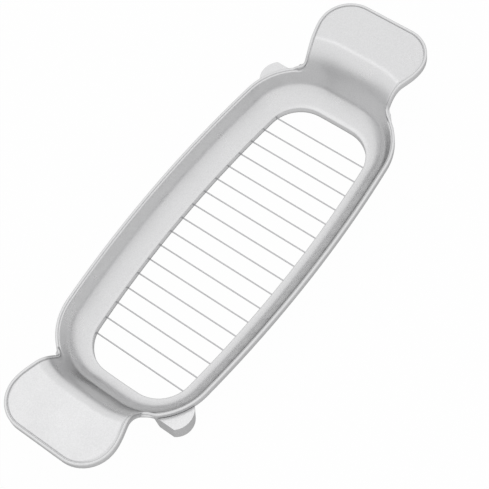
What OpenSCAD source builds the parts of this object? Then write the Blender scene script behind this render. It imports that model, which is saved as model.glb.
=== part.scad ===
/* [Opening] */
// Length of the opening along the tray
opening_l = 123; // [118:0.5:126]
// Width of the opening at its middle
opening_w = 45; // [42:0.5:50]
// Radius of the long, slightly bulged sides of the opening
opening_side_r = 450; // [350:10:800]
// Radius of the almost straight ends of the opening
opening_end_r = 400; // [250:10:800]
// Corner radius of the opening
opening_corner_r = 13; // [11:0.5:15]

/* [Pressed frame] */
// Thickness of the sheet
sheet_t = 1.2; // [1:0.1:1.4]
// Height of the turned-down lip round the opening, which the frame rests on
lip_h = 2.8; // [2.6:0.1:3.4]
// Distance from the opening to the inner edge of the rim
wall_run = 9.2; // [8.4:0.1:10.4]
// Height of the rim above the top of the lip
wall_rise = 10.7; // [9.5:0.1:12]
// Width of the flat land on top of the rim
rim_land = 1.4; // [1.2:0.1:2]
// Height of the turned-down hem on the rim and the tabs
hem_h = 3; // [2.4:0.1:3.4]
// Bevel where the lip turns over
lip_bevel = 0.4; // [0.2:0.1:0.6]

/* [Finger tabs] */
// Overall length over both tabs
total_l = 195; // [190:1:204]
// Height of the tabs above the top of the lip
tab_rise = 20.9; // [18:0.1:23]
// Length over which the end wall climbs from the ledge to the tab
tab_climb = 13.7; // [12:0.1:16]
// Flat run between the opening and the foot of the end wall
tab_toe = 1.5; // [1:0.1:2.5]
// Largest width of a tab
tab_w = 42.6; // [41:0.2:45]
// Width of the waist between tray and tab
neck_w = 36.4; // [35:0.2:38]
// Distance from the junction with the rim to the waist
neck_run = 2.9; // [2.4:0.1:4]
// Radius of the big round corners of a tab
tab_corner_r = 11.8; // [11:0.2:15]
// Direction from a corner of the opening to the junction of rim and tab, in degrees
tab_junction = 36; // [33:0.5:38]

/* [Cutting wire] */
// Distance between two runs, which is the thickness of a slice
wire_pitch = 6.5; // [5.5:0.1:6.6]
// Least distance from an end of the opening to the first run
wire_end_gap = 9; // [8:0.1:9.4]
// Diameter of the wire
wire_d = 0.5; // [0.4:0.05:0.6]
// Height of the middle of the wire above the table
wire_z = 1.1; // [1:0.05:1.15]
// Radial clearance of the wire in its holes
wire_play = 0.05; // [0.03:0.01:0.1]

/* [Wire posts] */
// Radius of a post at its top
post_r = 7.2; // [6.6:0.1:7.4]
// How much narrower the post is at its foot
post_draft = 1; // [0.4:0.1:1.4]
// Height of the top of a post below the rim
post_drop = 2; // [1.4:0.1:2.4]
// Height of the foot of a post above the table
post_foot = 2.6; // [2.4:0.1:3]
// Distance of the post's middle inside the outer edge of the rim
post_inset = 2.1; // [1.8:0.1:2.6]
// Direction from the corner of the opening to the post, in degrees
post_turn = 53; // [50:1:56]
// Distance from the post's middle to the flat on its side that faces the tab
post_flat = 5.4; // [4.8:0.1:6]
// Gap left for the weld between the post and the sheet
post_seat = 0.06; // [0.04:0.01:0.12]

/* [Clamp screws] */
// Diameter of the screw's shank
screw_d = 2.5; // [2:0.1:3]
// Diameter of the screw's head
screw_head_d = 5; // [4.4:0.1:5.6]
// Height of the screw's head
screw_head_h = 1.5; // [1.2:0.1:1.6]
// Length of the shank inside the post
screw_l = 4.4; // [3.4:0.1:4.6]
// Radial clearance of the shank in the post
screw_play = 0.05; // [0.03:0.01:0.1]
// Width of the screwdriver slot
slot_w = 0.8; // [0.6:0.1:1]
// Depth of the screwdriver slot
slot_depth = 0.6; // [0.4:0.1:0.8]

/* [Hidden] */
$fn = 48;
half_l = opening_l / 2;
half_w = opening_w / 2;
rim_run = wall_run + rim_land;
rim_z = lip_h + wall_rise;
tab_end = total_l / 2;
wire_r = wire_d / 2;
// An odd number of runs, as many as the opening takes, with one in its middle
wire_count = 2 * floor((opening_l / 2 - wire_end_gap) / wire_pitch) + 1;
steel = [0.78, 0.78, 0.8];
bright = [0.86, 0.86, 0.88];

function wire_name(i) = str("wire_", i < 10 ? "0" : "", i);

// The opening is made of three arcs a quarter: side, corner and end, tangent to each other
side_c = [0, half_w - opening_side_r];
end_c = [half_l - opening_end_r, 0];
side_in = opening_side_r - opening_corner_r;
end_in = opening_end_r - opening_corner_r;
arc_gap = norm(end_c - side_c);
arc_dir = (end_c - side_c) / arc_gap;
arc_along = (side_in * side_in - end_in * end_in + arc_gap * arc_gap) / (2 * arc_gap);
arc_across = sqrt(side_in * side_in - arc_along * arc_along);
corner_c = side_c + arc_dir * arc_along + [arc_dir[1], -arc_dir[0]] * arc_across;
side_turn = atan2(corner_c[1] - side_c[1], corner_c[0] - side_c[0]);
end_turn = atan2(corner_c[1] - end_c[1], corner_c[0] - end_c[0]);

// A station is [point on the opening's edge, outward direction]
function direction(a) = [cos(a), sin(a)];
function station(centre, r, a) = [centre + r * direction(a), direction(a)];
function arc_stations(centre, r, a0, a1, steps) =
    [for (k = [0:steps - 1]) station(centre, r, a0 + (a1 - a0) * k / steps)];
end_steps = 4;
inner_corner_steps = 6;
outer_corner_steps = 8;
side_steps = 9;
tab_columns = end_steps + inner_corner_steps;
quarter = concat(
    arc_stations(end_c, opening_end_r, 0, end_turn, end_steps),
    arc_stations(corner_c, opening_corner_r, end_turn, tab_junction, inner_corner_steps),
    arc_stations(corner_c, opening_corner_r, tab_junction, side_turn, outer_corner_steps),
    arc_stations(side_c, opening_side_r, side_turn, 90, side_steps),
    [station(side_c, opening_side_r, 90)]);
quarter_last = len(quarter) - 1;
function flip(s, fx, fy) = [[s[0][0] * fx, s[0][1] * fy], [s[1][0] * fx, s[1][1] * fy]];
ring = concat(
    quarter,
    [for (k = [quarter_last - 1:-1:0]) flip(quarter[k], -1, 1)],
    [for (k = [1:quarter_last]) flip(quarter[k], -1, -1)],
    [for (k = [quarter_last - 1:-1:1]) flip(quarter[k], 1, -1)]);
ring_count = len(ring);
half_ring = ring_count / 2;

// Height of the sheet's top: a dished wall all round, and a taller S-shaped wall at each end
function smooth(s) = s <= 0 ? 0 : s >= 1 ? 1 : s * s * (3 - 2 * s);
function dish(d) = wall_rise * pow(max(0, min(1, d / wall_run)), 2);
function climb(x) = tab_rise * smooth((abs(x) - half_l - tab_toe) / tab_climb);
function top_z(d, x) = lip_h + pow(pow(dish(d), 6) + pow(climb(x), 6), 1 / 6);

// Slope of the top along the outward direction and along the tray, by small steps
slope_step = 0.01;
function slope_d(d, x) = (top_z(d + slope_step, x) - top_z(d - slope_step, x)) / (2 * slope_step);
function slope_x(d, x) = (top_z(d, x + slope_step) - top_z(d, x - slope_step)) / (2 * slope_step);
function under(p, g) = p + sheet_t * [g[0], g[1], -1] / sqrt(1 + g[0] * g[0] + g[1] * g[1]);

function top_point(s, d) = let (q = s[0] + d * s[1]) [q[0], q[1], top_z(d, q[0])];
function under_point(s, d) =
    let (p = top_point(s, d), a = slope_d(d, p[0]))
    under(p, [a * s[1][0] + slope_x(d, p[0]), a * s[1][1]]);
function low_point(s, d, z) = let (q = s[0] + d * s[1]) [q[0], q[1], z];
function drop(p, h) = [p[0], p[1], p[2] - h];

// Distances from the opening at which the top and the underside have a row of points
top_rows = [lip_bevel, 0.18 * wall_run, 0.34 * wall_run, 0.5 * wall_run, 0.64 * wall_run,
    0.77 * wall_run, 0.89 * wall_run, wall_run, rim_run];
under_rows = [0.86 * wall_run, 0.74 * wall_run, 0.6 * wall_run, 0.46 * wall_run,
    0.3 * wall_run, sheet_t + lip_bevel];
rim_row = len(top_rows) + 1;
loop_count = len(top_rows) + len(under_rows) + 5;

function on_tab(j) = min(j, abs(j - half_ring), ring_count - j);
function section(j) =
    let (s = ring[j], edge = top_point(s, rim_run))
    concat(
        [low_point(s, 0, 0), low_point(s, 0, lip_h - lip_bevel)],
        [for (d = top_rows) top_point(s, d)],
        [on_tab(j) < tab_columns ? under_point(s, rim_run) : drop(edge, hem_h)],
        [for (d = under_rows) under_point(s, d)],
        [low_point(s, sheet_t, lip_h - sheet_t), low_point(s, sheet_t, 0)]);

// A tab is a patch of rows and columns between the rim's curve and the tab's outline
tab_rows = 10;
tab_half = tab_w / 2;
corner_x = tab_end - tab_corner_r;
flat_half = tab_half - tab_corner_r;
outline_l = flat_half + tab_corner_r * PI / 2;
function outline(f) =
    let (s = abs(f) * outline_l, a = max(0, s - flat_half) / tab_corner_r * 180 / PI)
    [corner_x + tab_corner_r * cos(a), sign(f) * (min(s, flat_half) + tab_corner_r * sin(a))];
junction = corner_c + (opening_corner_r + rim_run) * direction(tab_junction);
neck_x = junction[0] + neck_run;
function side_y(x) = x < neck_x
    ? neck_w / 2 + (junction[1] - neck_w / 2) * pow((neck_x - x) / neck_run, 2)
    : neck_w / 2 + (tab_half - neck_w / 2) * (1 - cos(180 * (x - neck_x) / (corner_x - neck_x))) / 2;
function row_part(r) = pow(r / tab_rows, 1.25);
function tab_xy(c, r) =
    let (f = c / tab_columns, v = row_part(r),
         s = ring[(c + ring_count) % ring_count],
         a = s[0] + rim_run * s[1],
         b = outline(f),
         x = junction[0] + (corner_x - junction[0]) * v,
         bulge = side_y(x) - (junction[1] + (tab_half - junction[1]) * v))
    [a[0] + (b[0] - a[0]) * v, a[1] + (b[1] - a[1]) * v + bulge * f];
function tab_top(c, r) = let (q = tab_xy(c, r)) [q[0], q[1], top_z(rim_run, q[0])];
function tab_low(c, r) =
    let (p = tab_top(c, r))
    (abs(c) == tab_columns || r == tab_rows) ? drop(p, hem_h)
        : under(p, [slope_x(rim_run, p[0]), 0]);
function turned(p, t) = [p[0] * t, p[1] * t, p[2]];

column_count = 2 * tab_columns + 1;
ring_points = [for (j = [0:ring_count - 1]) each section(j)];
tab_points = [for (t = [1, -1]) for (c = [-tab_columns:tab_columns]) for (r = [1:tab_rows])
    each [turned(tab_top(c, r), t), turned(tab_low(c, r), t)]];

function at_ring(j, p) = ((j + ring_count) % ring_count) * loop_count + p % loop_count;
function at_tab(t, c, r, low) = r == 0
    ? at_ring(c + (t == 1 ? half_ring : 0), rim_row + low)
    : len(ring_points) + 2 * ((t * column_count + c + tab_columns) * tab_rows + r - 1) + low;
function quad(a, b, c, d) = [[a, b, c], [a, c, d]];
function tab_segment(j) = max(on_tab(j), on_tab((j + 1) % ring_count)) <= tab_columns;
ring_faces = [for (j = [0:ring_count - 1]) for (p = [0:loop_count - 1])
    if (!(p == rim_row && tab_segment(j)))
        each quad(at_ring(j, p), at_ring(j + 1, p), at_ring(j + 1, p + 1), at_ring(j, p + 1))];
tab_faces = [for (t = [0, 1]) for (r = [0:tab_rows - 1]) each concat(
    [for (c = [-tab_columns:tab_columns - 1]) each concat(
        quad(at_tab(t, c, r, 0), at_tab(t, c + 1, r, 0),
             at_tab(t, c + 1, r + 1, 0), at_tab(t, c, r + 1, 0)),
        quad(at_tab(t, c, r, 1), at_tab(t, c, r + 1, 1),
             at_tab(t, c + 1, r + 1, 1), at_tab(t, c + 1, r, 1)))],
    quad(at_tab(t, -tab_columns, r, 0), at_tab(t, -tab_columns, r + 1, 0),
         at_tab(t, -tab_columns, r + 1, 1), at_tab(t, -tab_columns, r, 1)),
    quad(at_tab(t, tab_columns, r, 0), at_tab(t, tab_columns, r, 1),
         at_tab(t, tab_columns, r + 1, 1), at_tab(t, tab_columns, r + 1, 0)))];
tip_faces = [for (t = [0, 1]) for (c = [-tab_columns:tab_columns - 1])
    each quad(at_tab(t, c, tab_rows, 0), at_tab(t, c + 1, tab_rows, 0),
              at_tab(t, c + 1, tab_rows, 1), at_tab(t, c, tab_rows, 1))];

// Distance across from the middle line to a line that runs d outside the opening, at x along it
function arc_y(centre, r, x) = centre[1] + sqrt(r * r - pow(x - centre[0], 2));
function edge_y(x, d) = x > corner_c[0] + (opening_corner_r + d) * cos(side_turn)
    ? arc_y(corner_c, opening_corner_r + d, x)
    : arc_y(side_c, opening_side_r + d, x);
function wire_x(i) = (i - (wire_count + 1) / 2) * wire_pitch;
// Middle of the wire where it turns along the outside of the lip
function bend_y(i) = edge_y(abs(wire_x(i)), sheet_t + wire_r + wire_play);

module rod(a, b, r) {
    v = b - a;
    translate(a)
        rotate([0, acos(v[2] / norm(v)), atan2(v[1], v[0])])
            cylinder(h = norm(v), r = r, $fn = 24);
}

module frame() {
    color(steel)
        difference() {
            polyhedron(concat(ring_points, tab_points), concat(ring_faces, tab_faces, tip_faces),
                convexity = 8);
            for (i = [1:wire_count])
                rod([wire_x(i), -bend_y(i), wire_z], [wire_x(i), bend_y(i), wire_z],
                    wire_r + wire_play);
        }
}

// One straight run of the wire, with its elbow behind the lip at each end
module wire_run(i) {
    color(bright) {
        rod([wire_x(i), -bend_y(i), wire_z], [wire_x(i), bend_y(i), wire_z], wire_r);
        for (s = [-1, 1])
            translate([wire_x(i), s * bend_y(i), wire_z])
                sphere(r = wire_r, $fn = 24);
    }
}

// The wire between two runs, along the outside of the lip; s is the side of the opening
module wire_bends(s) {
    first = s > 0 ? 1 : 2;
    color(bright)
        for (i = [first:2:wire_count - 1]) {
            a = [wire_x(i), s * bend_y(i), wire_z];
            b = [wire_x(i + 1), s * bend_y(i + 1), wire_z];
            along = (b - a) / norm(b - a);
            rod(a + along * wire_r, b - along * wire_r, wire_r);
        }
}

// Place and height of the post at the positive corner
post_xy = corner_c + (opening_corner_r + rim_run - post_inset) * direction(post_turn);
post_top = rim_z - post_drop;
post_h = post_top - post_foot;

module post_shape() {
    translate([post_xy[0], post_xy[1], post_foot])
        difference() {
            cylinder(h = post_h, r1 = post_r - post_draft, r2 = post_r);
            translate([post_flat, -post_r, -1])
                cube([post_r, 2 * post_r, post_h + 2]);
        }
}

// Everything inside the sheet's outer surface at the corner, as a solid of revolution
module corner_core() {
    r0 = opening_corner_r;
    translate([corner_c[0], corner_c[1], 0])
        rotate_extrude($fn = 96)
            polygon(concat(
                [[0, -1], [r0 + sheet_t + post_seat, -1],
                 [r0 + sheet_t + post_seat, lip_h - sheet_t - post_seat]],
                [for (k = [len(under_rows) - 1:-1:0])
                    let (d = under_rows[k], g = 2 * dish(d) / d,
                         w = (sheet_t + post_seat) / sqrt(1 + g * g))
                    [r0 + d + g * w, lip_h + dish(d) - w]],
                [[r0 + rim_run + post_seat, rim_z - hem_h - post_seat],
                 [r0 + rim_run + post_seat, rim_z + 1], [0, rim_z + 1]]));
}

module wire_post(s) {
    color(steel)
        scale([s, s, 1])
            difference() {
                post_shape();
                corner_core();
                translate([post_xy[0], post_xy[1], post_foot - 1])
                    cylinder(h = screw_l + 1.3, d = screw_d + 2 * screw_play);
            }
}

module clamp_screw(s) {
    head_top = post_foot - wire_d;
    color(bright)
        rotate([0, 0, s > 0 ? 0 : 180])
            translate([post_xy[0], post_xy[1], head_top])
                difference() {
                    union() {
                        cylinder(h = screw_l + wire_d, d = screw_d);
                        translate([0, 0, -screw_head_h])
                            cylinder(h = screw_head_h, d = screw_head_d);
                    }
                    translate([-screw_head_d, -slot_w / 2, -screw_head_h - 1])
                        cube([2 * screw_head_d, slot_w, slot_depth + 1]);
                }
}

// A tube swept along a path that lies nearly level, with mitred bends
module tube(path, r, sides = 12) {
    last = len(path) - 1;
    function heading(k) = let (v = path[min(k + 1, last)] - path[min(k, last - 1)]) v / norm(v);
    function bisector(k) = let (v = heading(k) + heading(max(k - 1, 0))) v / norm(v);
    function across(v) = let (w = cross([0, 0, 1], v)) w / norm(w);
    points = [for (k = [0:last])
        let (v = bisector(k), y = across(v), z = cross(v, y))
        for (a = [0:sides - 1])
            path[k] + r * (cos(360 * a / sides) * y + sin(360 * a / sides) * z)];
    walls = [for (k = [0:last - 1]) for (a = [0:sides - 1])
        let (b = (a + 1) % sides, p = k * sides, q = p + sides)
        each quad(p + a, q + a, q + b, p + b)];
    polyhedron(points, concat(walls,
        [[for (a = [0:sides - 1]) a]],
        [[for (a = [sides - 1:-1:0]) last * sides + a]]));
}

// The end of the wire, from the last run to its place under the screw's head
module wire_lead(s) {
    start = [wire_x(wire_count), bend_y(wire_count), wire_z];
    hook = [post_xy[0], post_xy[1] - screw_d / 2 - wire_r - screw_play, post_foot - wire_r];
    knee = hook - [screw_head_d / 2 + 2 * wire_d, 0, 0];
    along = (knee - start) / norm(knee - start);
    color(bright)
        rotate([0, 0, s > 0 ? 0 : 180])
            tube([start + along * wire_r, knee, hook], wire_r);
}

frame();
for (i = [1:wire_count])
    wire_run(i);
wire_bends(-1);  // wire_bends_near
wire_bends(1);  // wire_bends_far
wire_lead(-1);  // wire_lead_near
wire_lead(1);  // wire_lead_far
wire_post(-1);  // wire_post_near
wire_post(1);  // wire_post_far
clamp_screw(-1);  // clamp_screw_near
clamp_screw(1);  // clamp_screw_far
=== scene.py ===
import math

import bmesh
import bpy
import numpy as np
from mathutils import Matrix, Vector


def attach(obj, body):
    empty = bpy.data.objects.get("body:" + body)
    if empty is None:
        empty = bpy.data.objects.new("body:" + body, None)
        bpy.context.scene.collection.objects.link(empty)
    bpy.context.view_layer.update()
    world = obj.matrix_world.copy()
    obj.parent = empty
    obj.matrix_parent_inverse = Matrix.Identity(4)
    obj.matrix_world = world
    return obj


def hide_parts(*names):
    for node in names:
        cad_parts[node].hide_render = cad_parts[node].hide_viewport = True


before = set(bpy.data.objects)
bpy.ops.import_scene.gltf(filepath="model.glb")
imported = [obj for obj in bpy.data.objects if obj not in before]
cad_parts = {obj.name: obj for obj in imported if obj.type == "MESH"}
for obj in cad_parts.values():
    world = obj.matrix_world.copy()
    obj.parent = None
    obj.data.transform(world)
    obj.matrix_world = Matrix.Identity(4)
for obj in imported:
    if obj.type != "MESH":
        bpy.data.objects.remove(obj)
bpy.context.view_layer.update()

# Sizes are in millimetres up to the mesh, where MM turns them into metres
MM = 0.001

# Plan of the opening, as in the CAD model
OPENING_L = 123.0
OPENING_W = 45.0
OPENING_SIDE_R = 450.0
OPENING_END_R = 400.0
OPENING_CORNER_R = 13.0
HALF_L = OPENING_L / 2
HALF_W = OPENING_W / 2

# The turned edge: half its thickness, its height, how far it stands above the sheet, the rounding
# of its foot, and how far its section leans over where rim and tabs climb: 0 upright, 1 square
# to its run
HEM_R = 0.5
HEM_H = 3.0
HEM_PROUD = 0.2
HEM_ROUND = 0.25
HEM_LEAN = 0.2
HEM_TOP_PARTS = 14
HEM_FOOT_PARTS = 3

# The sheet ends in the middle of the turned edge, so its outline is smaller than the CAD model's
# by half the edge's thickness
TOTAL_L = 195.0 - 2 * HEM_R
TAB_W = 42.6 - 2 * HEM_R
NECK_W = 36.4 - 2 * HEM_R
TAB_CORNER_R = 11.8 - HEM_R
WALL_RUN = 9.2
RIM_LAND = 1.4
RIM_RUN = WALL_RUN + RIM_LAND - HEM_R
NECK_RUN = 2.9

# Where the rim turns into the side of a tab: the angle of its outward direction
TAB_JUNCTION = 36.0

# The sheet, and the lip round the opening: its height, the rounding of its top and its bevels
SHEET_T = 1.2
LIP_H = 2.8
LIP_ROUND = 0.4
LIP_BEVEL = 0.12
LIP_MIDDLE_Z = 1.0
LIP_INNER_RUN = 0.3
LIP_INNER_DROP = 0.25

# Slopes of the wall outwards from the opening; past the rim's height it runs on into a tab
WALL_SLOPES = ((0.0, 0.0), (6.8, 1.36), (7.8, 2.5), (9.4, 2.5),
               (11.0, 2.0), (14.7, 0.8), (18.0, 0.0))
WALL_TABLE_STEPS = 800

# The rim cuts the wall off at this rise, blended over a short height. From RIM_END outwards the
# cut lifts away, so that the wall goes on as a tab.
RIM_RISE = 10.7
RIM_END = 66.3
RIM_LIFT = 0.95
RIM_LIFT_POWER = 1.5
RIM_BLEND = 0.3
SLOPE_STEP = 0.02

# The groove inside the turned edge: its distances from the middle of that edge, and its depth
GROOVE_FROM = 0.62
GROOVE_TO = 0.95
GROOVE_DEPTH = 0.3

# Points along a quarter of the turned edge
EDGE_RIM_POINTS = 110
EDGE_WAIST_POINTS = 60
EDGE_TAB_POINTS = 50

# Mesh lines are close together near the turned edge, at these distances from its middle
EDGE_STEPS = (0.0, 0.35, 0.55, 0.62, 0.7, 0.78, 0.86, 0.95, 1.05, 1.3, 1.7)

# Columns and rows of half a tab, as fractions. The lengths turn the steps above into fractions.
COLUMN_L = 19
ROW_L = TOTAL_L / 2 - 72
COLUMNS = [i / 30 for i in range(28)] + [1 - e / COLUMN_L for e in EDGE_STEPS[::-1]]
ROWS = [(i / 44) ** 1.1 for i in range(42)] + [1 - e / ROW_L for e in EDGE_STEPS[::-1]]

# Distances from the opening of a profile's points, over the top and back underneath
TOP_D = [LIP_ROUND + 0.1] + [WALL_RUN * i / 32 for i in range(3, 32)]
TOP_D += [RIM_RUN - e for e in EDGE_STEPS[-4::-1]]
LOW_D = [WALL_RUN * share
         for share in (0.98, 0.94, 0.9, 0.86, 0.82, 0.76, 0.7, 0.6, 0.5, 0.4, 0.3, 0.22)]

# Profiles along a corner of the tray and along half of its side
CORNER_STATIONS = 34
SIDE_STATIONS = 40

# Edges sharper than this stay hard in shading
SHEET_SHARP = 50
POST_SHARP = 35

# Rounding of the posts' edges
POST_ROUND = 0.45
POST_ROUND_PARTS = 4
POST_FLAT = 2
MERGE_M = 1e-6

# Metals: colour, roughness, its spread, size and depth of the grain in metres
STEELS = {
    "satin_steel": ((0.65, 0.65, 0.655), 0.3, 0.04, 0.0004, 0.000004),
    "post_steel": ((0.66, 0.66, 0.665), 0.28, 0.04, 0.0005, 0.000004),
    "wire_steel": ((0.5, 0.5, 0.51), 0.25, 0.04, 0.0003, 0.000002),
    "screw_steel": ((0.7, 0.7, 0.71), 0.25, 0.06, 0.0005, 0.000008),
}
# Metal seen at a flat angle is a little darker than plain theory gives
EDGE_TINT = (0.6, 0.6, 0.6)
CLOUD_TO_GRAIN = 28
GRAIN_DARK = 0.93
GRAIN_LIGHT = 1.04
GRAIN_BUMP = 0.5
# The middle part of a noise texture's output, where most of its values lie
NOISE_LOW = 0.3
NOISE_HIGH = 0.7

# Share of plain white in the floor, as the camera and as the metal see it
FLOOR_TO_CAMERA = 0.98
FLOOR_IN_METAL = 0.7
FLOOR_M = 3.0
FLOOR_GREY = 0.6
FLOOR_ROUGHNESS = 0.9

# The room in the metal: its grey against the sine of the elevation
ROOM_STOPS = ((0.0, 0.5), (0.04, 0.88), (0.3, 0.97), (0.8, 1.0), (1.0, 1.0))
ROOM_STRENGTH = 1.12

# The lamp, in metres and watts; it shines at the origin
KEY_AT = (0.17, 0.4, 1.0)
KEY_SIZE = 0.5
KEY_POWER = 0.15

# The photographed view: place of the camera in millimetres, its two picture axes and its lens
CAMERA_AT = (-162.9, -194.0, 463.5)
CAMERA_RIGHT = (0.6008, -0.7916, -0.1115)
CAMERA_UP = (0.7343, 0.4914, 0.4682)
CAMERA_LENS = 111.1
CAMERA_SENSOR = 36.0
CAMERA_CLIP_M = 0.01


# Outline of the opening
def arc_centres():
    """Centres of the side, end and corner arcs, which are tangent to each other."""
    side = np.array([0.0, HALF_W - OPENING_SIDE_R])
    end = np.array([HALF_L - OPENING_END_R, 0.0])
    side_in = OPENING_SIDE_R - OPENING_CORNER_R
    end_in = OPENING_END_R - OPENING_CORNER_R
    gap = np.linalg.norm(end - side)
    unit = (end - side) / gap
    along = (side_in**2 - end_in**2 + gap**2) / (2 * gap)
    across = math.sqrt(side_in**2 - along**2)
    return side, end, side + unit * along + np.array([unit[1], -unit[0]]) * across


def angle_of(vector):
    return math.degrees(math.atan2(vector[1], vector[0]))


def direction(degrees):
    a = math.radians(degrees)
    return np.array([math.cos(a), math.sin(a)])


SIDE_C, END_C, CORNER_C = arc_centres()
SIDE_TURN = angle_of(CORNER_C - SIDE_C)
END_TURN = angle_of(CORNER_C - END_C)


def station(degrees):
    """The opening's edge and its outward direction, where that direction has this angle."""
    n = direction(degrees)
    if degrees <= END_TURN:
        return END_C + OPENING_END_R * n, n
    if degrees <= SIDE_TURN:
        return CORNER_C + OPENING_CORNER_R * n, n
    return SIDE_C + OPENING_SIDE_R * n, n


def opening_distance(point):
    """How far a point lies outside the edge of the opening."""
    q = np.abs(point)
    turn = angle_of(q - CORNER_C)
    if turn < END_TURN:
        return np.linalg.norm(q - END_C) - OPENING_END_R
    if turn < SIDE_TURN:
        return np.linalg.norm(q - CORNER_C) - OPENING_CORNER_R
    return np.linalg.norm(q - SIDE_C) - OPENING_SIDE_R


# The sheet's upper surface
def rise_table(slopes):
    """Heights at close steps under slopes that change evenly from point to point."""
    run = np.linspace(0, slopes[-1][0], WALL_TABLE_STEPS)
    slope = np.interp(run, *zip(*slopes))
    steps = (slope[1:] + slope[:-1]) / 2 * np.diff(run)
    return run, np.concatenate([[0], np.cumsum(steps)])


WALL = rise_table(WALL_SLOPES)


def top_z(point):
    """Height of the upper surface: the wall, cut off at the rim except where a tab goes on."""
    wall = np.interp(opening_distance(point), *WALL)
    past_rim = max(0.0, abs(point[0]) - RIM_END)
    rim = RIM_RISE + RIM_LIFT * past_rim**RIM_LIFT_POWER
    low = min(wall, rim)
    blend = math.exp((low - wall) / RIM_BLEND) + math.exp((low - rim) / RIM_BLEND)
    return LIP_H + low - RIM_BLEND * math.log(blend)


def surface(point):
    """A point of the upper surface and its slope in x and y."""
    slope = [(top_z(point + step) - top_z(point - step)) / (2 * SLOPE_STEP)
             for step in (np.array([SLOPE_STEP, 0.0]), np.array([0.0, SLOPE_STEP]))]
    return np.array([point[0], point[1], top_z(point)]), np.array(slope)


# Outline of a finger tab
JUNCTION = CORNER_C + (OPENING_CORNER_R + RIM_RUN) * direction(TAB_JUNCTION)
NECK_X = JUNCTION[0] + NECK_RUN
CORNER_X = TOTAL_L / 2 - TAB_CORNER_R
FLAT_HALF = TAB_W / 2 - TAB_CORNER_R
OUTLINE_L = FLAT_HALF + TAB_CORNER_R * math.pi / 2
END_ARC_L = math.radians(END_TURN) * (OPENING_END_R + RIM_RUN)
CORNER_ARC_L = math.radians(TAB_JUNCTION - END_TURN) * (OPENING_CORNER_R + RIM_RUN)


def side_y(x):
    """Half the width between the junction and the tab's corner arcs."""
    if x < NECK_X:
        return NECK_W / 2 + (JUNCTION[1] - NECK_W / 2) * ((NECK_X - x) / NECK_RUN) ** 2
    turn = math.pi * (x - NECK_X) / (CORNER_X - NECK_X)
    return NECK_W / 2 + (TAB_W - NECK_W) / 2 * (1 - math.cos(turn)) / 2


def tab_edge(f):
    """The tab's outline past its waist, from -1 to 1."""
    s = abs(f) * OUTLINE_L
    a = max(0.0, s - FLAT_HALF) / TAB_CORNER_R
    y = min(s, FLAT_HALF) + TAB_CORNER_R * math.sin(a)
    return np.array([CORNER_X + TAB_CORNER_R * math.cos(a), math.copysign(y, f)])


def tab_station_angle(f):
    """The angle whose outward ray meets the rim a fraction f of the way to the junction."""
    s = f * (END_ARC_L + CORNER_ARC_L)
    if s <= END_ARC_L:
        return math.degrees(s / (OPENING_END_R + RIM_RUN))
    return END_TURN + math.degrees((s - END_ARC_L) / (OPENING_CORNER_R + RIM_RUN))


def tab_point(f, v):
    """A point of the tab's plan: f across it from -1 to 1, v outwards from 0 to 1."""
    edge, n = station(tab_station_angle(abs(f)))
    start = edge + RIM_RUN * n
    start[1] = math.copysign(start[1], f) if f else start[1]
    end = tab_edge(f)
    x = JUNCTION[0] + (CORNER_X - JUNCTION[0]) * v
    bulge = side_y(x) - (JUNCTION[1] + (TAB_W / 2 - JUNCTION[1]) * v)
    return np.array([start[0] + (end[0] - start[0]) * v,
                     start[1] + (end[1] - start[1]) * v + bulge * f])


def edge_line():
    """A quarter of the turned edge's middle, from the tray's side to the tip of a tab."""
    rim = [station(a) for a in np.linspace(90, TAB_JUNCTION, EDGE_RIM_POINTS)]
    waist = np.linspace(JUNCTION[0], CORNER_X, EDGE_WAIST_POINTS)[1:]
    line = [p + RIM_RUN * n for p, n in rim]
    line += [np.array([x, side_y(x)]) for x in waist]
    line += [tab_edge(f) for f in np.linspace(1, 0, EDGE_TAB_POINTS)[1:]]
    return np.array(line)


EDGE = edge_line()


def edge_distance(point):
    """How far a point lies from the middle of the turned edge."""
    p = np.abs(point)
    a, b = EDGE[:-1], EDGE[1:]
    ab = b - a
    t = np.clip(((p - a) * ab).sum(1) / (ab**2).sum(1), 0, 1)
    return float(np.hypot(*(p - a - t[:, None] * ab).T).min())


# The sheet
def top_vertex(point):
    """The upper surface, lowered in the groove."""
    p = surface(point)[0]
    share = np.clip((GROOVE_TO - edge_distance(point)) / (GROOVE_TO - GROOVE_FROM), 0, 1)
    p[2] -= GROOVE_DEPTH * share * share * (3 - 2 * share)
    return p


def low_vertex(point):
    """The underside, a sheet's thickness away square to the upper surface."""
    p, g = surface(point)
    return p + SHEET_T * np.array([g[0], g[1], -1]) / math.sqrt(1 + g @ g)


def ring_stations():
    """Places once round the opening, each with its outward direction, from +X by way of +Y."""
    tab = [tab_station_angle(f) for f in COLUMNS]
    corner = list(np.linspace(TAB_JUNCTION, SIDE_TURN, CORNER_STATIONS))[1:]
    side = list(np.linspace(SIDE_TURN, 90, SIDE_STATIONS))[1:]
    quarter = [np.array(station(a)) for a in tab + corner + side]
    ring = quarter + [q * (-1, 1) for q in quarter[-2::-1]]
    ring += [q * (-1, -1) for q in quarter[1:]]
    ring += [q * (1, -1) for q in quarter[-2:0:-1]]
    return ring


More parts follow.
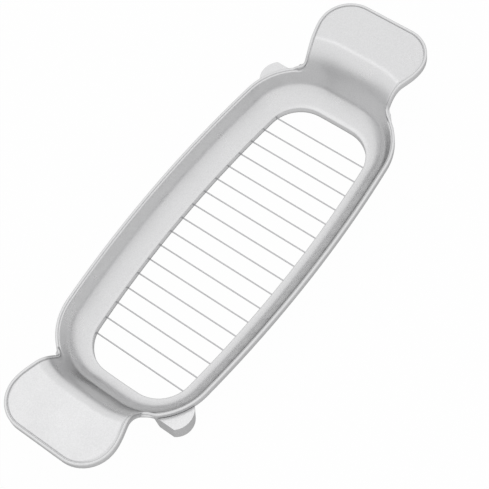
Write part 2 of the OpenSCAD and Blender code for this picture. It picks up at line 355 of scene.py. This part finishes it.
def section(place):
    """One closed profile of the sheet, over the lip to the rim and back, and its last top point."""
    p, n = place

    def at(d, z):
        q = p + d * n
        return np.array([q[0], q[1], z])

    lip = [at(LIP_BEVEL, 0.0), at(0, LIP_BEVEL), at(0, LIP_MIDDLE_Z), at(0, LIP_H - LIP_ROUND)]
    lip += [at(LIP_ROUND * (1 - math.cos(a)), LIP_H - LIP_ROUND * (1 - math.sin(a)))
            for a in (math.pi / 8, math.pi / 4, 3 * math.pi / 8)]
    top = [top_vertex(p + d * n) for d in TOP_D]
    low = [low_vertex(p + d * n) for d in [RIM_RUN] + LOW_D]
    foot = [at(SHEET_T + LIP_INNER_RUN, LIP_H - SHEET_T),
            at(SHEET_T, LIP_H - SHEET_T - LIP_INNER_DROP),
            at(SHEET_T, LIP_BEVEL), at(SHEET_T - LIP_BEVEL, 0.0)]
    return lip + top + low + foot, len(lip) + len(top) - 1


def frame_mesh():
    """The sheet: profiles round the opening, and a patch of rows and columns for each tab."""
    ring = ring_stations()
    count, half = len(ring), len(ring) // 2
    wide, rows = len(COLUMNS) - 1, len(ROWS) - 1
    verts, faces = [], []
    for place in ring:
        loop, edge_row = section(place)
        verts += loop
    size = len(loop)

    def at_ring(j, p):
        return (j % count) * size + p % size

    def on_tab(j):
        j %= count
        return min(j, abs(j - half), count - j) <= wide

    for j in range(count):
        for p in range(size):
            if p == edge_row and on_tab(j) and on_tab(j + 1):
                continue
            faces.append([at_ring(j, p), at_ring(j, p + 1),
                          at_ring(j + 1, p + 1), at_ring(j + 1, p)])

    base = len(verts)
    for turn in (1, -1):
        for c in range(-wide, wide + 1):
            f = math.copysign(COLUMNS[abs(c)], c) if c else 0.0
            for v in ROWS[1:]:
                q = tab_point(f, v)
                verts += [make(q) * (turn, turn, 1) for make in (top_vertex, low_vertex)]

    def at_tab(t, c, r, low):
        if r == 0:
            return at_ring(c + t * half, edge_row + low)
        return base + 2 * ((t * (2 * wide + 1) + c + wide) * rows + r - 1) + low

    for t in (0, 1):
        for r in range(rows):
            for c in range(-wide, wide):
                faces.append([at_tab(t, c, r, 0), at_tab(t, c, r + 1, 0),
                              at_tab(t, c + 1, r + 1, 0), at_tab(t, c + 1, r, 0)])
                faces.append([at_tab(t, c, r, 1), at_tab(t, c + 1, r, 1),
                              at_tab(t, c + 1, r + 1, 1), at_tab(t, c, r + 1, 1)])
            for c in (-wide, wide):
                faces.append([at_tab(t, c, r, 0), at_tab(t, c, r, 1),
                              at_tab(t, c, r + 1, 1), at_tab(t, c, r + 1, 0)])
        for c in range(-wide, wide):
            faces.append([at_tab(t, c, rows, 0), at_tab(t, c, rows, 1),
                          at_tab(t, c + 1, rows, 1), at_tab(t, c + 1, rows, 0)])
    return [tuple(v * MM) for v in verts], faces


# The turned edge
def hem_line():
    """The middle of the turned edge, once round rim and tabs, on the sheet's upper surface."""
    quarter = [np.array([q[0], q[1], top_z(q)]) for q in EDGE]
    ring = quarter + [q * (1, -1, 1) for q in quarter[-2::-1]]
    ring += [q * (-1, -1, 1) for q in quarter[1:]]
    ring += [q * (-1, 1, 1) for q in quarter[-2:0:-1]]
    return ring


def hem_section():
    """Outline of the turned edge across its run: outwards and upwards."""
    middle = HEM_PROUD - HEM_R
    foot = HEM_PROUD - HEM_H
    flat = HEM_R - HEM_ROUND
    turns = [math.pi * k / HEM_TOP_PARTS for k in range(HEM_TOP_PARTS + 1)]
    line = [(HEM_R * math.cos(a), middle + HEM_R * math.sin(a)) for a in turns]
    quarter = [math.pi / 2 * k / HEM_FOOT_PARTS for k in range(HEM_FOOT_PARTS + 1)]
    line += [(-flat - HEM_ROUND * math.cos(a), foot + HEM_ROUND * (1 - math.sin(a)))
             for a in quarter]
    line += [(flat + HEM_ROUND * math.sin(a), foot + HEM_ROUND * (1 - math.cos(a)))
             for a in quarter]
    return line


def hem_mesh():
    """The section above, carried along the line above."""
    ring, shape = hem_line(), hem_section()
    count, size = len(ring), len(shape)
    verts, faces = [], []
    for j, q in enumerate(ring):
        along = ring[(j + 1) % count] - ring[j - 1]
        along /= np.linalg.norm(along)
        up = np.array([0, 0, 1]) - along * along[2] * HEM_LEAN
        up /= np.linalg.norm(up)
        out = np.cross(up, along)
        out /= np.linalg.norm(out)
        verts += [tuple((q + a * out + b * up) * MM) for a, b in shape]
        for k in range(size):
            m, i = (j + 1) % count, (k + 1) % size
            faces.append([j * size + k, j * size + i, m * size + i, m * size + k])
    return verts, faces


# Materials
def metal(name, colour, roughness, spread, grain_size, grain_depth):
    """Metal with a fine grain in tone and relief, and a cloudy roughness."""
    mat = bpy.data.materials.new(name)
    mat.use_nodes = True
    nodes, links = mat.node_tree.nodes, mat.node_tree.links
    shader = nodes["Principled BSDF"]
    shader.inputs["Metallic"].default_value = 1.0
    shader.inputs["Specular Tint"].default_value = (*EDGE_TINT, 1)
    coords = nodes.new("ShaderNodeTexCoord")

    grain = nodes.new("ShaderNodeTexNoise")
    grain.inputs["Scale"].default_value = 1 / grain_size
    grain.inputs["Detail"].default_value = 3.0
    links.new(coords.outputs["Object"], grain.inputs["Vector"])
    cloud = nodes.new("ShaderNodeTexNoise")
    cloud.inputs["Scale"].default_value = 1 / (grain_size * CLOUD_TO_GRAIN)
    cloud.inputs["Detail"].default_value = 4.0
    links.new(coords.outputs["Object"], cloud.inputs["Vector"])

    rough = nodes.new("ShaderNodeMapRange")
    rough.inputs["From Min"].default_value = NOISE_LOW
    rough.inputs["From Max"].default_value = NOISE_HIGH
    rough.inputs["To Min"].default_value = roughness - spread
    rough.inputs["To Max"].default_value = roughness + spread
    links.new(cloud.outputs["Fac"], rough.inputs["Value"])
    links.new(rough.outputs["Result"], shader.inputs["Roughness"])

    tone = nodes.new("ShaderNodeValToRGB")
    dark, light = tone.color_ramp.elements
    dark.position = NOISE_LOW
    dark.color = (*[c * GRAIN_DARK for c in colour], 1)
    light.position = NOISE_HIGH
    light.color = (*[min(1, c * GRAIN_LIGHT) for c in colour], 1)
    links.new(grain.outputs["Fac"], tone.inputs["Fac"])
    links.new(tone.outputs["Color"], shader.inputs["Base Color"])

    bump = nodes.new("ShaderNodeBump")
    bump.inputs["Strength"].default_value = GRAIN_BUMP
    bump.inputs["Distance"].default_value = grain_depth
    links.new(grain.outputs["Fac"], bump.inputs["Height"])
    links.new(bump.outputs["Normal"], shader.inputs["Normal"])
    return mat


def dress(obj, mat):
    """Give a CAD object its material."""
    if obj.data.materials:
        for k in range(len(obj.data.materials)):
            obj.material_slots[k].material = mat
    else:
        obj.data.materials.append(mat)


# Pieces
def smooth(mesh, sharp_degrees):
    mesh.polygons.foreach_set("use_smooth", [True] * len(mesh.polygons))
    mesh.set_sharp_from_angle(angle=math.radians(sharp_degrees))


def add_object(name, verts, faces, mat):
    mesh = bpy.data.meshes.new(name)
    mesh.from_pydata(verts, [], faces)
    bm = bmesh.new()
    bm.from_mesh(mesh)
    bmesh.ops.recalc_face_normals(bm, faces=bm.faces)
    bm.to_mesh(mesh)
    bm.free()
    smooth(mesh, SHEET_SHARP)
    mesh.materials.append(mat)
    obj = bpy.data.objects.new(name, mesh)
    bpy.context.scene.collection.objects.link(obj)
    return obj


def make_frame(mat):
    obj = add_object("tray_frame", *frame_mesh(), mat)
    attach(obj, "root")
    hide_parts("frame")


def make_hem(mat):
    obj = add_object("turned_edge", *hem_mesh(), mat)
    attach(obj, "root")


def make_post(node, mat):
    """The post of the CAD model with its edges rounded over."""
    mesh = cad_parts[node].data.copy()
    obj = bpy.data.objects.new(node + "_rounded", mesh)
    bpy.context.scene.collection.objects.link(obj)
    bm = bmesh.new()
    bm.from_mesh(mesh)
    bmesh.ops.remove_doubles(bm, verts=bm.verts, dist=MERGE_M)
    bmesh.ops.dissolve_limit(bm, angle_limit=math.radians(POST_FLAT),
                             verts=bm.verts, edges=bm.edges)
    bm.to_mesh(mesh)
    bm.free()
    bevel = obj.modifiers.new("rounding", "BEVEL")
    bevel.width = POST_ROUND * MM
    bevel.segments = POST_ROUND_PARTS
    bevel.limit_method = "ANGLE"
    bevel.angle_limit = math.radians(POST_SHARP)
    bevel.use_clamp_overlap = True
    smooth(mesh, POST_SHARP)
    mesh.materials.clear()
    mesh.materials.append(mat)
    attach(obj, "root")
    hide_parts(node)


def make_object():
    steel = {name: metal(name, *values) for name, values in STEELS.items()}
    make_frame(steel["satin_steel"])
    make_hem(steel["satin_steel"])
    for name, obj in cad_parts.items():
        if name.startswith("wire_post"):
            make_post(name, steel["post_steel"])
        elif name.startswith("wire"):
            dress(obj, steel["wire_steel"])
        elif name.startswith("clamp_screw"):
            dress(obj, steel["screw_steel"])


# Studio
def make_floor():
    """White floor with the object's shadow; the camera and the metal see mostly plain white."""
    bpy.ops.mesh.primitive_plane_add(size=FLOOR_M, location=(0, 0, 0))
    floor = bpy.context.object
    floor.name = "floor"
    mat = bpy.data.materials.new("floor_white")
    mat.use_nodes = True
    nodes, links = mat.node_tree.nodes, mat.node_tree.links
    shader = nodes["Principled BSDF"]
    shader.inputs["Base Color"].default_value = (FLOOR_GREY, FLOOR_GREY, FLOOR_GREY, 1)
    shader.inputs["Roughness"].default_value = FLOOR_ROUGHNESS
    shader.inputs["Specular IOR Level"].default_value = 0.0
    white = nodes.new("ShaderNodeEmission")
    white.inputs["Strength"].default_value = 1.0

    path = nodes.new("ShaderNodeLightPath")
    bounce = nodes.new("ShaderNodeMath")
    bounce.operation = "MAXIMUM"
    links.new(path.outputs["Is Glossy Ray"], bounce.inputs[0])
    links.new(path.outputs["Is Transmission Ray"], bounce.inputs[1])
    in_metal = nodes.new("ShaderNodeMath")
    in_metal.operation = "MULTIPLY"
    in_metal.inputs[1].default_value = FLOOR_IN_METAL
    links.new(bounce.outputs[0], in_metal.inputs[0])
    share = nodes.new("ShaderNodeMath")
    share.operation = "MULTIPLY_ADD"
    share.inputs[1].default_value = FLOOR_TO_CAMERA
    links.new(path.outputs["Is Camera Ray"], share.inputs[0])
    links.new(in_metal.outputs[0], share.inputs[2])

    mix = nodes.new("ShaderNodeMixShader")
    links.new(share.outputs[0], mix.inputs["Fac"])
    links.new(shader.outputs["BSDF"], mix.inputs[1])
    links.new(white.outputs["Emission"], mix.inputs[2])
    links.new(mix.outputs["Shader"], nodes["Material Output"].inputs["Surface"])
    floor.data.materials.append(mat)


def make_world():
    """White all round for the camera; for the metal, a bright ceiling over greyer walls."""
    world = bpy.data.worlds.new("studio")
    bpy.context.scene.world = world
    world.use_nodes = True
    nodes, links = world.node_tree.nodes, world.node_tree.links
    coords = nodes.new("ShaderNodeTexCoord")
    split = nodes.new("ShaderNodeSeparateXYZ")
    links.new(coords.outputs["Generated"], split.inputs[0])
    ramp = nodes.new("ShaderNodeValToRGB")
    first, last = ramp.color_ramp.elements
    first.position, last.position = ROOM_STOPS[0][0], ROOM_STOPS[-1][0]
    first.color = (ROOM_STOPS[0][1],) * 3 + (1,)
    last.color = (ROOM_STOPS[-1][1],) * 3 + (1,)
    for position, grey in ROOM_STOPS[1:-1]:
        ramp.color_ramp.elements.new(position).color = (grey, grey, grey, 1)
    links.new(split.outputs["Z"], ramp.inputs["Fac"])
    room = nodes["Background"]
    room.inputs["Strength"].default_value = ROOM_STRENGTH
    links.new(ramp.outputs["Color"], room.inputs["Color"])
    white = nodes.new("ShaderNodeBackground")
    white.inputs["Color"].default_value = (1, 1, 1, 1)
    path = nodes.new("ShaderNodeLightPath")
    mix = nodes.new("ShaderNodeMixShader")
    links.new(path.outputs["Is Camera Ray"], mix.inputs["Fac"])
    links.new(room.outputs["Background"], mix.inputs[1])
    links.new(white.outputs["Background"], mix.inputs[2])
    links.new(mix.outputs["Shader"], nodes["World Output"].inputs["Surface"])


def make_lights():
    data = bpy.data.lights.new("key_softbox", "AREA")
    data.shape = "DISK"
    data.size = KEY_SIZE
    data.energy = KEY_POWER
    lamp = bpy.data.objects.new("key_softbox", data)
    bpy.context.scene.collection.objects.link(lamp)
    lamp.location = KEY_AT
    lamp.rotation_euler = (-Vector(KEY_AT)).to_track_quat("-Z", "Y").to_euler()


def make_camera():
    data = bpy.data.cameras.new("camera")
    data.lens = CAMERA_LENS
    data.sensor_width = CAMERA_SENSOR
    data.clip_start = CAMERA_CLIP_M
    cam = bpy.data.objects.new("camera", data)
    bpy.context.scene.collection.objects.link(cam)
    right = Vector(CAMERA_RIGHT).normalized()
    up = Vector(CAMERA_UP)
    up = (up - right * up.dot(right)).normalized()
    turn = Matrix((right, up, right.cross(up))).transposed().to_4x4()
    cam.matrix_world = Matrix.Translation(Vector(CAMERA_AT) * MM) @ turn
    bpy.context.scene.camera = cam


make_camera()
make_object()
make_floor()
make_world()
make_lights()
bpy.context.scene.view_settings.view_transform = "Standard"
